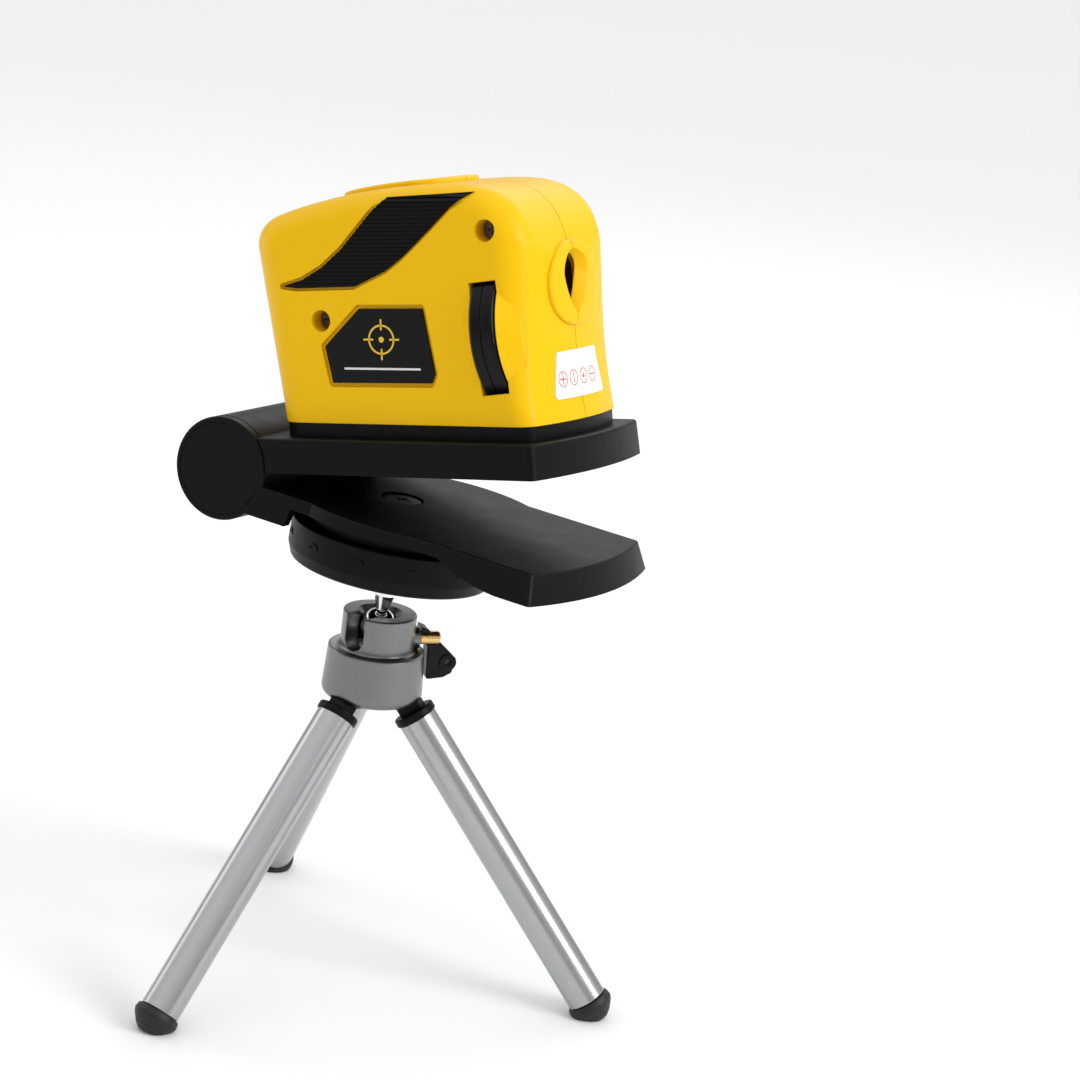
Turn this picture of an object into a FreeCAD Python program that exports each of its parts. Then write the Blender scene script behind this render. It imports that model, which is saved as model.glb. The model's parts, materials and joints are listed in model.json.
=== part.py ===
import FreeCAD, Part

"""Mini laser level on a hinged, turning base and a pocket tripod.

Millimetres, +Z up, floor at z = 0, laser beam towards +X. The origin is the centre of the
bounding box's bottom face. Three nested frames are used: the tripod frame on the hub axis,
the head frame on the ball centre (leaning a little, as the ball is clamped), and the upper
frame on the hinge axis (tipped up by the open hinge).
"""

import math
import os

from FreeCAD import Placement, Rotation, Vector

Y_AXIS = Vector(0, 1, 0)
Z_AXIS = Vector(0, 0, 1)

# ---- where the tripod axis stands, and how the head is posed ----
AXIS_X = -6.7
AXIS_Y = 9.97
LEG_ANGLES = {"left": -102.0, "right": 18.0, "rear": 138.0}
BALL_Z = 93.2
LEAN_DIRECTION = 145.0
LEAN = 4.1
HINGE_OPEN = 14.2

# ---- tripod ----
APEX_Z = 87.0
SPLAY = 38.1
HUB_BOTTOM_Z = 74.7
HUB_BOTTOM_R = 12.9
HUB_RIM_Z = 87.9
HUB_RIM_R = 12.1
COLLAR_R = 9.3
COLLAR_TOP_Z = 97.2
BALL_R = 4.8
BALL_BORE_R = 5.1
NECK_OPENING_R = 4.3
NECK_SLOT_W = 6.2
PIVOT_S = 11.35
PIN_R = 1.1
PIN_LENGTH = 9.0
LUG_W = 4.0
LUG_R = 3.0
SCREW_ANGLE = 47.0
SCREW_Z = 90.4
SCREW_R = 1.45
SCREW_END = 16.2
RING_S = 18.0
RING_H = 2.2
RING_R = 5.4
TUBE_TOP_S = RING_S + RING_H
TUBE_END_S = 105.1
TUBE_R = 5.0
TUBE_BORE_R = 4.4
MIDDLE_R = 4.1
MIDDLE_BORE_R = 3.6
INNER_R = 3.3
INNER_BORE_R = 2.8
SLIDE_GAP = 0.04
FOOT_R = 5.8
RUNNING = 0.05

# ---- turntable, head frame ----
DISC_R = 26.1
DISC_FOOT_R = 25.0
DISC_NECK_R = 22.9
DISC_BOTTOM = 15.4
DISC_FOOT_TOP = 18.6
DISC_SHOULDER = 25.8
DISC_TOP = 30.55
INDEX_MARKS = 12
INDEX_START = -49.5
INDEX_Z = 21.3
STUD_FLANGE_R = 6.5
STUD_THREAD_R = 3.15

# ---- hinged plates ----
BARREL_X = -36.2
BARREL_Z = 34.65
BARREL_R = 12.8
BARREL_HALF = 28.6
KNUCKLE_W = 2.7
KNUCKLE_GAP = 0.4
BOLT_R = 2.5
CONCAVE_R = 13.2
LOWER_TOP = 33.55
LOWER_BOTTOM = 26.6
LOWER_HALF = 28.6
LOWER_FLARE = 3.0
LOWER_FRONT = 52.0
LOWER_BULGE = 3.9
UPPER_TOP = 7.64
UPPER_BOTTOM = -0.8
UPPER_HALF = 28.2
UPPER_FRONT = 86.0
UPPER_BULGE = 3.6
PLATE_SKIN = 2.6
PLATE_WALL = 2.2
WAIST_X = 6.0
WAIST_R = 32.2
ARCH_REAR = -14.0
ARCH_FRONT = 45.0
ARCH_TOP = 30.6

# ---- laser housing, upper frame ----
BASE_TOP = 11.1
HOUSING_HALF = 23.3
REAR_X = 13.1
REAR_RAKE = 0.174
FRONT_X = 86.35
FRONT_RAKE = 0.008
FRONT_FLARE = 2.2
FLARE_TOP = 36.0
FRONT_BULGE = 4.2
REAR_BULGE = 1.0
FRONT_CORNER_R = (5.5, 10.0)
REAR_CORNER_R = (7.0, 11.0)
TOP_EDGE_R = 7.0
COLUMN_HEIGHTS = (10.0, 18.0, 27.0, 36.0, 52.0, 78.0)
ROOF = [(-4, 54), (4, 58.4), (12, 61.7), (26, 65.5), (40, 67.8), (55, 68.9), (65, 68.8),
        (72.5, 67.3), (78, 63.7), (81.3, 58.2), (84.3, 48.2)]
WALL = 2.2
SEAM = 0.24
BEAM_Z = 43.8
THROAT = (3.5, 50.3, 37.3, 82.3)
MOUTH = (7.2, 52.2, 35.2, 85.8)
WINDOW_X = 78.8
WINDOW_R = 7.5
WINDOW_THICK = 1.1
WHEEL_X = 73.2
WHEEL_Y = -6.5
WHEEL_Z = 31.9
WHEEL_R = 20.5
WHEEL_W = 6.4
WHEEL_CANT = 6.0
OPTIC_R = 3.0
GUARD_FRONT = 4.6
GUARD_REAR = 3.0
SHELL_SCREWS = [(72.9, 57.0), (27.5, 35.8)]
SCREW_RECESS_R = 2.6
SCREW_RECESS = 5.5
POD = (25.5, 56.0, 13.0)
POD_RISE = 1.2
VIAL_WINDOW = (29.0, 52.5, 5.2)
VIAL_Z = 60.9
LONG_VIAL_R = 2.9
CROSS_VIAL_R = 2.5
INLAY = [(46.4, 65.1), (69.1, 66.0), (63.6, 62.5), (58.1, 57.6), (53.0, 53.2), (49.6, 50.4), (45.4, 47.6),
         (36.9, 44.0), (21.0, 43.6), (17.0, 44.1), (22.5, 45.6), (28.2, 48.6), (33.6, 52.8), (42.4, 61.8)]
NAMEPLATE = [(38.1, 38.5), (55.1, 38.6), (58.0, 23.2), (57.2, 21.3), (30.3, 21.1), (28.5, 29.6)]
LABEL = [(-9.7, 27.5), (9.7, 27.5), (12.5, 16.4), (-12.5, 16.4)]
BASE_SCREWS = [(25.0, -17.5), (25.0, 17.5), (79.0, -14.5), (79.0, 14.5)]
DECK_Z = 25.6
CELL_R = 5.25
CELL_LENGTH = 44.5
CELL_X = 17.4
CELL_Y = 5.6
CELL_Z = 18.3
DOOR_HALF = 12.6
DOOR_Z = (13.4, 28.6)
DOOR_PIN_X = 12.2
DOOR_PIN_Z = 27.5
SWITCH_X = 47.0
SWITCH_Z = 31.0

# ---- frames ----
TRIPOD = Placement(Vector(AXIS_X, AXIS_Y, 0), Rotation())
LEAN_AXIS = Vector(math.cos(math.radians(LEAN_DIRECTION)), math.sin(math.radians(LEAN_DIRECTION)), 0)
HEAD = Placement(Vector(AXIS_X, AXIS_Y, BALL_Z), Rotation(LEAN_AXIS, LEAN))
UPPER = HEAD.multiply(Placement(Vector(BARREL_X, 0, BARREL_Z), Rotation(Y_AXIS, -HINGE_OPEN)))


def leg_frame(angle, axis_x=AXIS_X, axis_y=AXIS_Y):
    """Origin at the apex where the three leg axes meet, Z back up the leg, Y across it."""
    turn = Rotation(Z_AXIS, angle).multiply(Rotation(Y_AXIS, -SPLAY))
    return Placement(Vector(axis_x, axis_y, APEX_Z), turn)


# ---- helpers ----
def box(x0, x1, y0, y1, z0, z1):
    return Part.makeBox(x1 - x0, y1 - y0, z1 - z0, Vector(x0, y0, z0))


def rod(radius, start, end):
    """A cylinder between two points."""
    along = end - start
    return Part.makeCylinder(radius, along.Length, start, along)


def tube(outer, inner, start, end):
    return rod(outer, start, end).cut(rod(inner, start, end))


def turned(profile):
    """A closed (radius, z) outline turned about Z."""
    points = [Vector(r, 0, z) for r, z in profile]
    face = Part.Face(Part.makePolygon(points + points[:1]))
    return face.revolve(Vector(), Z_AXIS, 360)


def plate_xz(points, y0, y1):
    """An (x, z) outline pulled along Y."""
    corners = [Vector(x, y0, z) for x, z in points]
    return Part.Face(Part.makePolygon(corners + corners[:1])).extrude(Vector(0, y1 - y0, 0))


def round_rings(shape, radius, rings):
    """Fillet the circular edges about Z of the given (radius, z)."""
    chosen = []
    for edge in shape.Edges:
        if not isinstance(edge.Curve, Part.Circle):
            continue
        centre = edge.Curve.Center
        if math.hypot(centre.x, centre.y) > 0.01:
            continue
        if any(abs(edge.Curve.Radius - r) < 0.01 and abs(centre.z - z) < 0.01 for r, z in rings):
            chosen.append(edge)
    return shape.makeFillet(radius, chosen)


def fused(shapes):
    return shapes[0].multiFuse(shapes[1:]).removeSplitter()


def cut_all(shape, tools):
    for tool in tools:
        shape = shape.cut(tool)
    return shape


def save(name, shape, place):
    moved = shape.copy()
    moved.Placement = place.multiply(moved.Placement)
    moved.exportStep("parts/" + name + ".step")


# ---- tripod hub ----
def radial(angle, r, z, across=0.0):
    a = math.radians(angle)
    return Vector(r * math.cos(a) - across * math.sin(a), r * math.sin(a) + across * math.cos(a), z)


def turned_box(angle, r0, r1, half, z0, z1):
    block = box(r0, r1, -half, half, z0, z1)
    block.rotate(Vector(), Z_AXIS, angle)
    return block


def pivot_point(angle, across=0.0):
    s = math.radians(SPLAY)
    return radial(angle, PIVOT_S * math.sin(s), APEX_Z - PIVOT_S * math.cos(s), across)


def hub_body():
    seat_floor = 84.5
    lip_z = BALL_Z + 2.25
    body = turned([(0, HUB_BOTTOM_Z), (HUB_BOTTOM_R, HUB_BOTTOM_Z), (HUB_RIM_R, HUB_RIM_Z),
                   (COLLAR_R, HUB_RIM_Z - 0.5), (COLLAR_R, COLLAR_TOP_Z), (0, COLLAR_TOP_Z)])
    body = round_rings(body, 2.4, [(HUB_BOTTOM_R, HUB_BOTTOM_Z)])
    body = round_rings(body, 0.5, [(HUB_RIM_R, HUB_RIM_Z), (COLLAR_R, COLLAR_TOP_Z)])
    body = round_rings(body, 0.8, [(COLLAR_R, HUB_RIM_Z - 0.5)])
    boss = rod(2.9, radial(SCREW_ANGLE, 6.5, SCREW_Z), radial(SCREW_ANGLE, COLLAR_R + 1.2, SCREW_Z))
    body = body.fuse(boss)
    body = cut_all(body, [
        rod(BALL_BORE_R, Vector(0, 0, seat_floor), Vector(0, 0, lip_z)),
        rod(NECK_OPENING_R, Vector(0, 0, seat_floor), Vector(0, 0, COLLAR_TOP_Z + 1)),
        Part.makeCone(NECK_OPENING_R, NECK_OPENING_R + 1.6, 1.6, Vector(0, 0, COLLAR_TOP_Z - 1.4)),
        rod(SCREW_R + RUNNING, radial(SCREW_ANGLE, 0, SCREW_Z), radial(SCREW_ANGLE, 14, SCREW_Z)),
    ])
    slot_angle = LEG_ANGLES["left"]
    slot_r = NECK_SLOT_W / 2
    slot_low = BALL_Z - 1.9
    body = cut_all(body, [
        turned_box(slot_angle, 0, 14, slot_r, slot_low, COLLAR_TOP_Z + 1),
        rod(slot_r, radial(slot_angle, 3, slot_low), radial(slot_angle, 14, slot_low)),
    ])
    for angle in LEG_ANGLES.values():
        half = LUG_W / 2 + 0.2
        reach = PIVOT_S * math.sin(math.radians(SPLAY)) + LUG_R + 0.4
        body = body.cut(turned_box(angle, 2.9, reach, half, HUB_BOTTOM_Z - 3, 81.6))
        sweep = box(-LUG_R - 0.4, LUG_R + 0.4, -half, half, -PIVOT_S - 12, -PIVOT_S)
        sweep.Placement = leg_frame(angle, 0, 0)
        body = body.cut(sweep)
        body = body.cut(rod(PIN_R, pivot_point(angle, -PIN_LENGTH / 2), pivot_point(angle, PIN_LENGTH / 2)))
    return body


def ball_seat():
    seat = rod(BALL_BORE_R - 0.05, Vector(0, 0, 84.5), Vector(0, 0, SCREW_Z - 1.8))
    return seat.cut(Part.makeSphere(BALL_R + 0.1, Vector(0, 0, BALL_Z)))


def leg_pivot_pins():
    half = PIN_LENGTH / 2
    return Part.makeCompound([rod(PIN_R, pivot_point(a, -half), pivot_point(a, half))
                              for a in LEG_ANGLES.values()])


def clamp_screw():
    """Along X from the hub axis; the thread runs in the collar and the tip meets the ball."""
    thread = rod(SCREW_R, Vector(4.85, 0, SCREW_Z), Vector(COLLAR_R + 2.0, 0, SCREW_Z))
    shank = rod(1.75, Vector(COLLAR_R + 1.7, 0, SCREW_Z), Vector(SCREW_END, 0, SCREW_Z))
    shank = shank.makeChamfer(0.3, [e for e in shank.Edges if isinstance(e.Curve, Part.Circle)
                                    and e.Curve.Center.x > SCREW_END - 0.1])
    return thread.fuse(shank)


def clamp_lever():
    """Flat thumb lever moulded round the shank, with an eye at its far corner."""
    outline = [(COLLAR_R + 1.9, 3.0), (COLLAR_R + 3.6, 2.4), (SCREW_END + 0.4, -1.2), (21.2, -5.4),
               (20.3, -9.2), (18.2, -10.4), (13.7, -11.0), (13.2, -2.4), (COLLAR_R + 1.9, 0.5)]
    blade = plate_xz([(x, SCREW_Z + z) for x, z in outline], -1.0, 3.2)
    blade = blade.makeFillet(0.7, [e for e in blade.Edges if e.BoundBox.YLength > 2 and e.BoundBox.XMin > 13])
    rim = [e for e in blade.Edges if e.BoundBox.YLength < 0.01 and e.BoundBox.XMax > 13.3]
    blade = blade.makeFillet(0.35, rim)
    pad = rod(2.2, Vector(18.9, -1.4, SCREW_Z - 6.3), Vector(18.9, 3.6, SCREW_Z - 6.3))
    eye = rod(0.9, Vector(18.9, -5, SCREW_Z - 6.3), Vector(18.9, 5, SCREW_Z - 6.3))
    lever = fused([blade, pad]).cut(eye)
    return lever.cut(rod(1.75, Vector(9, 0, SCREW_Z), Vector(SCREW_END, 0, SCREW_Z)))


# ---- one leg, in its own frame: s runs down the leg from the apex, so z = -s ----
def down(s, x=0.0, y=0.0):
    return Vector(x, y, -s)


def leg_hinge_cap():
    half = LUG_W / 2
    tongue = box(-LUG_R, LUG_R, -half, half, -RING_S, -PIVOT_S)
    eye = rod(LUG_R, down(PIVOT_S, 0, -half), down(PIVOT_S, 0, half))
    ring = rod(RING_R, down(RING_S), down(TUBE_TOP_S))
    ring = ring.makeFillet(0.5, [e for e in ring.Edges if isinstance(e.Curve, Part.Circle)])
    plug = rod(TUBE_BORE_R, down(TUBE_TOP_S - 0.6), down(TUBE_TOP_S + 3.0))
    cap = fused([tongue, eye, ring, plug])
    return cap.cut(rod(PIN_R + RUNNING, down(PIVOT_S, 0, -5), down(PIVOT_S, 0, 5)))


def leg_outer_tube():
    lip = 1.6
    pipe = tube(TUBE_R, TUBE_BORE_R, down(TUBE_TOP_S), down(TUBE_END_S))
    collar = tube(TUBE_R, MIDDLE_R + SLIDE_GAP, down(TUBE_END_S - lip), down(TUBE_END_S))
    pipe = pipe.fuse(collar).removeSplitter()
    rim = [e for e in pipe.Edges if isinstance(e.Curve, Part.Circle) and abs(e.Curve.Radius - TUBE_R) < 0.01
           and abs(e.Curve.Center.z + TUBE_END_S) < 0.01]
    return pipe.makeFillet(0.4, rim)


def telescoping(outer, bore, guide, end_bore, top_s, end_s):
    """A tube with a swelled top that guides it and a necked-in lower end."""
    pipe = tube(outer, bore, down(top_s), down(end_s))
    top = tube(guide, bore, down(top_s), down(top_s + 4.0))
    if end_bore < bore:
        top = top.fuse(tube(outer, end_bore, down(end_s - 1.4), down(end_s)))
    return pipe.fuse(top).removeSplitter()


def leg_middle_tube():
    return telescoping(MIDDLE_R, MIDDLE_BORE_R, TUBE_BORE_R - SLIDE_GAP, INNER_R + SLIDE_GAP,
                       TUBE_TOP_S + 4.0, TUBE_END_S - 0.4)


def leg_inner_tube():
    return telescoping(INNER_R, INNER_BORE_R, MIDDLE_BORE_R - SLIDE_GAP, INNER_BORE_R,
                       TUBE_TOP_S + 6.0, TUBE_END_S + 1.5)


def leg_foot():
    """Rubber foot, cut flat where it stands on the floor."""
    end = TUBE_END_S + 0.05
    foot = turned([(0, -end - 5.9), (2.6, -end - 5.7), (3.9, -end - 4.6), (5.4, -end - 2.6),
                   (FOOT_R, -end - 1.6), (5.5, -end), (0, -end)])
    foot = round_rings(foot, 0.4, [(FOOT_R, -end - 1.6), (5.5, -end)])
    socket = rod(INNER_R, down(end - 1), down(TUBE_END_S + 1.5))
    floor = box(0, 120, -30, 30, -30, 0)
    floor.Placement = leg_frame(0, 0, 0).inverse()
    return foot.cut(socket).cut(floor)


# ---- ball stud and turntable, head frame ----
def ball_stud():
    neck = turned([(0, 0), (1.6, 0), (1.6, 4.9), (2.65, 8.4), (2.8, 13.3), (0, 13.3)])
    flange = rod(STUD_FLANGE_R, Vector(0, 0, 13.2), Vector(0, 0, 14.7))
    flange = flange.makeFillet(0.4, [e for e in flange.Edges if isinstance(e.Curve, Part.Circle)])
    thread = rod(STUD_THREAD_R, Vector(0, 0, 14.0), Vector(0, 0, 22.0))
    thread = thread.makeChamfer(0.5, [e for e in thread.Edges if isinstance(e.Curve, Part.Circle)
                                      and e.Curve.Center.z > 21])
    stud = fused([Part.makeSphere(BALL_R), neck, flange, thread])
    for turn in range(5):
        z = 16.2 + turn * 1.27
        crest = STUD_THREAD_R + 0.1
        groove = turned([(crest, z - 0.4), (STUD_THREAD_R - 0.5, z), (crest, z + 0.4)])
        stud = stud.cut(groove)
    return stud


def stud_pad():
    return tube(STUD_FLANGE_R + 0.6, STUD_THREAD_R + 0.15, Vector(0, 0, 14.7), Vector(0, 0, DISC_BOTTOM))


def thread_insert():
    return tube(4.6, STUD_THREAD_R + 0.05, Vector(0, 0, DISC_BOTTOM), Vector(0, 0, 24.0))


def turntable_disc():
    disc = turned([(0, DISC_BOTTOM), (DISC_FOOT_R, DISC_BOTTOM), (DISC_R, DISC_FOOT_TOP),
                   (DISC_R, DISC_SHOULDER), (DISC_NECK_R, DISC_SHOULDER + 0.2), (DISC_NECK_R, DISC_TOP),
                   (0, DISC_TOP)])
    disc = round_rings(disc, 0.9, [(DISC_FOOT_R, DISC_BOTTOM), (DISC_R, DISC_FOOT_TOP)])
    disc = round_rings(disc, 0.5, [(DISC_R, DISC_SHOULDER), (DISC_NECK_R, DISC_TOP)])
    hollow = tube(DISC_NECK_R - 2.0, 8.0, Vector(0, 0, DISC_BOTTOM - 1), Vector(0, 0, 27.6))
    ribs = []
    for spoke in range(6):
        rib = box(7.5, DISC_NECK_R - 1.6, -0.8, 0.8, DISC_BOTTOM + 1.5, 27.6)
        rib.rotate(Vector(), Z_AXIS, spoke * 60 + 15)
        ribs.append(rib)
    marks = []
    for step in range(INDEX_MARKS):
        arch = tube(1.5, 1.0, Vector(DISC_R - 0.5, 0, INDEX_Z), Vector(DISC_R + 0.2, 0, INDEX_Z))
        arch = arch.common(box(DISC_R - 1, DISC_R + 1, -2, 2, INDEX_Z, INDEX_Z + 3))
        arch.rotate(Vector(), Z_AXIS, INDEX_START + step * 360 / INDEX_MARKS)
        marks.append(arch)
    disc = fused([disc.cut(hollow)] + ribs + marks)
    bores = [rod(4.6, Vector(0, 0, DISC_BOTTOM - 1), Vector(0, 0, 24.0)),
             rod(1.7, Vector(0, 0, 23), Vector(0, 0, DISC_TOP + 1))]
    return cut_all(disc, bores)


def pivot_screw():
    head_z = LOWER_TOP - 2.0
    screw = fused([rod(3.0, Vector(0, 0, DISC_TOP), Vector(0, 0, head_z)),
                   rod(5.0, Vector(0, 0, head_z), Vector(0, 0, head_z + 1.7)),
                   rod(1.7, Vector(0, 0, 24.4), Vector(0, 0, DISC_TOP))])
    screw = round_rings(screw, 0.5, [(5.0, head_z + 1.7)])
    slots = [box(-2.2, 2.2, -0.4, 0.4, head_z + 0.7, head_z + 3),
             box(-0.4, 0.4, -2.2, 2.2, head_z + 0.7, head_z + 3)]
    return cut_all(screw, slots)


# ---- lower plate, head frame ----
def skirt_outline(half, front, bulge, rear, z):
    """Rear line, straight sides and a bowed front, as one wire."""
    a = Vector(rear, -half, z)
    b = Vector(front, -half, z)
    c = Vector(front, half, z)
    d = Vector(rear, half, z)
    nose = Part.Arc(b, Vector(front + bulge, 0, z), c).toShape()
    return Part.Wire([Part.makeLine(a, b), nose, Part.makeLine(c, d), Part.makeLine(d, a)])


def flared(half, front, bulge, rear, top, bottom, flare, front_flare):
    upper = skirt_outline(half, front, bulge, rear, top)
    lower = skirt_outline(half + flare, front + front_flare, bulge + flare / 3, rear, bottom)
    return Part.makeLoft([lower, upper], True, True)


def hinge_cylinder(radius, y0, y1, x=BARREL_X, z=BARREL_Z):
    return rod(radius, Vector(x, y0, z), Vector(x, y1, z))


def lower_plate():
    body = flared(LOWER_HALF, LOWER_FRONT, LOWER_BULGE, BARREL_X, LOWER_TOP, LOWER_BOTTOM, LOWER_FLARE, 2.2)
    corners = [e for e in body.Edges if e.BoundBox.XMin > LOWER_FRONT - 1 and e.BoundBox.ZLength > 3]
    body = body.makeFillet(1.4, corners)
    top_rim = [e for e in body.Edges if e.BoundBox.ZMin > LOWER_TOP - 0.01 and e.BoundBox.XMax > BARREL_X + 1]
    body = body.makeFillet(0.7, top_rim)
    waist = Part.makeCone(WAIST_R + 1.3, WAIST_R, 3.6, Vector(WAIST_X, 0, LOWER_TOP - 3.6))
    waist = waist.makeFillet(0.7, [e for e in waist.Edges if isinstance(e.Curve, Part.Circle)
                                   and e.Curve.Center.z > LOWER_TOP - 0.1])
    body = body.fuse(waist).removeSplitter()
    hollow = flared(LOWER_HALF - PLATE_WALL, LOWER_FRONT - PLATE_WALL, LOWER_BULGE,
                    BARREL_X + 17, LOWER_TOP - PLATE_SKIN, LOWER_BOTTOM - 0.1, LOWER_FLARE * 0.9, 2.0)
    body = body.cut(hollow)
    peak = Vector(27.5, 0, ARCH_TOP)
    foot = Vector(ARCH_FRONT, 0, LOWER_BOTTOM - 0.01)
    corners = [foot, Vector(ARCH_FRONT, 0, 20), Vector(ARCH_REAR, 0, 20),
               Vector(ARCH_REAR, 0, ARCH_TOP), peak]
    runs = [Part.makeLine(a, b) for a, b in zip(corners, corners[1:])]
    window = Part.Wire([Part.Arc(peak, Vector(34.0, 0, 28.4), foot).toShape()] + runs)
    opening = Part.Face(window).extrude(Vector(0, 80, 0))
    opening.translate(Vector(0, -40, 0))
    body = body.cut(opening)
    body = body.cut(rod(DISC_R + 0.5, Vector(0, 0, 20), Vector(0, 0, LOWER_TOP - PLATE_SKIN)))
    inside = BARREL_HALF - KNUCKLE_W
    body = body.cut(hinge_cylinder(CONCAVE_R, -inside, inside))
    for side in (-1, 1):
        outer = side * BARREL_HALF
        disc = hinge_cylinder(BARREL_R, outer, side * (BARREL_HALF - KNUCKLE_W))
        disc = disc.makeFillet(0.5, [e for e in disc.Edges if isinstance(e.Curve, Part.Circle)
                                     and abs(e.Curve.Center.y - outer) < 0.01])
        body = body.cut(hinge_cylinder(BARREL_R - 0.3, side * (BARREL_HALF + 6), outer))
        body = body.fuse(disc)
        body = body.cut(hinge_cylinder(BOLT_R, outer, side * (BARREL_HALF - 4)))
        body = body.cut(hinge_cylinder(BARREL_R - 1.3, outer, side * (BARREL_HALF - 1.1)))
        behind = box(BARREL_X - 30, BARREL_X, min(0, side * 40), max(0, side * 40), 10, 60)
        wing = behind.cut(hinge_cylinder(BARREL_R, side * 50, 0))
        body = body.cut(wing)
    ribs = []
    for x in (34.0, 42.0):
        rib = box(x, x + 1.6, -26.5, 26.5, LOWER_BOTTOM + 2.2, LOWER_TOP - PLATE_SKIN + 0.2)
        ribs.append(rib)
    body = fused([body] + ribs)
    bores = [rod(3.0 + RUNNING, Vector(0, 0, 20), Vector(0, 0, 40)),
             rod(5.4, Vector(0, 0, LOWER_TOP - 2.0), Vector(0, 0, 40))]
    return cut_all(body, bores)


def friction_ring():
    return tube(22.5, 19.5, Vector(0, 0, DISC_TOP), Vector(0, 0, LOWER_TOP - PLATE_SKIN))



# ---- hinge hardware, about the barrel axis of the head frame ----
def both_sides(make):
    """The same little part at each end of the barrel."""
    return Part.makeCompound([make(-1), make(1)])


def hinge_washer(side):
    start = side * (BARREL_HALF - KNUCKLE_W)
    end = side * (BARREL_HALF - KNUCKLE_W - KNUCKLE_GAP)
    ring = hinge_cylinder(10.5, start, end)
    return ring.cut(hinge_cylinder(BOLT_R + RUNNING, side * 20, side * 40))


def hinge_cap(side):
    outer = side * BARREL_HALF
    cap = hinge_cylinder(BARREL_R - 1.3, side * (BARREL_HALF - 1.1), outer)
    cap = cap.makeFillet(0.3, [e for e in cap.Edges if isinstance(e.Curve, Part.Circle)
                               and abs(e.Curve.Center.y - outer) < 0.01])
    return cap.cut(hinge_cylinder(4.2, side * (BARREL_HALF - 2), side * (BARREL_HALF - 0.4)))


def hinge_bolt():
    tip = BARREL_HALF - 0.9
    shank = hinge_cylinder(BOLT_R, -tip, tip)
    head = hinge_cylinder(4.1, BARREL_HALF - 1.1, BARREL_HALF - 0.5)
    return shank.fuse(head).removeSplitter()


def hinge_nut():
    y0 = -(BARREL_HALF - 0.5)
    y1 = -(BARREL_HALF - 1.1)
    nut = hinge_cylinder(4.1, y0, y1)
    return nut.cut(hinge_cylinder(BOLT_R, -BARREL_HALF - 1, -20))


# ---- upper plate, upper frame ----
def u_cylinder(radius, y0, y1):
    return hinge_cylinder(radius, y0, y1, 0, 0)


def upper_plate():
    body = flared(UPPER_HALF, UPPER_FRONT, UPPER_BULGE, 0, UPPER_TOP, UPPER_BOTTOM, 0.5, 0.6)
    corners = [e for e in body.Edges if e.BoundBox.XMin > UPPER_FRONT - 1 and e.BoundBox.ZLength > 3]
    body = body.makeFillet(1.6, corners)
    rim = [e for e in body.Edges if e.BoundBox.ZMin > UPPER_TOP - 0.01 and e.BoundBox.XMax > 1]
    body = body.makeFillet(0.8, rim)
    half = BARREL_HALF - KNUCKLE_W - KNUCKLE_GAP
    body = cut_all(body, [u_cylinder(CONCAVE_R, side * 40, side * half) for side in (-1, 1)])
    hollow = flared(UPPER_HALF - PLATE_WALL, UPPER_FRONT - PLATE_WALL, UPPER_BULGE, 15.4,
                    UPPER_TOP - PLATE_SKIN, UPPER_BOTTOM - 0.1, 0.4, 0.4)
    body = body.cut(hollow)
    barrel = u_cylinder(BARREL_R, -half, half)
    room = u_cylinder(BARREL_R - 2.4, -half + 3, half - 3).cut(u_cylinder(BOLT_R + 2.0, -half, half))
    barrel = barrel.cut(room)
    ribs = [box(x, x + 1.6, -27.0, 27.0, UPPER_BOTTOM + 0.6, UPPER_TOP - PLATE_SKIN + 0.2)
            for x in (34.0, 52.0, 68.0)]
    ribs += [box(12.5, 86.5, y - 0.8, y + 0.8, UPPER_BOTTOM + 0.6, UPPER_TOP - PLATE_SKIN + 0.2)
             for y in (-9.0, 9.0)]
    body = fused([body, barrel] + ribs)
    body = body.cut(u_cylinder(BOLT_R + RUNNING, -40, 40)).cut(box(6.0, 16.0, -8.0, 8.0, 0.2, 4.4))
    for x, y in BASE_SCREWS:
        body = body.cut(rod(1.3, Vector(x, y, 2), Vector(x, y, 12)))
    return body


def base_screw(x, y):
    top = UPPER_TOP - PLATE_SKIN
    screw = rod(1.25, Vector(x, y, top), Vector(x, y, 9.6))
    head = rod(2.4, Vector(x, y, top - 1.6), Vector(x, y, top))
    slot = box(x - 1.6, x + 1.6, y - 0.35, y + 0.35, top - 2, top - 1.0)
    return screw.fuse(head).cut(slot)


# ---- laser housing, upper frame ----
def corner_arc(before, corner, after, radius):
    """The round that joins two straight runs at a corner, with where it starts and ends."""
    u = (before - corner).normalize()
    v = (after - corner).normalize()
    half = u.getAngle(v) / 2
    start = corner + u * (radius / math.tan(half))
    end = corner + v * (radius / math.tan(half))
    middle = (u + v).normalize()
    apex = corner + middle * (radius / math.sin(half) - radius)
    return start, Part.Arc(start, apex, end).toShape(), end


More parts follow.
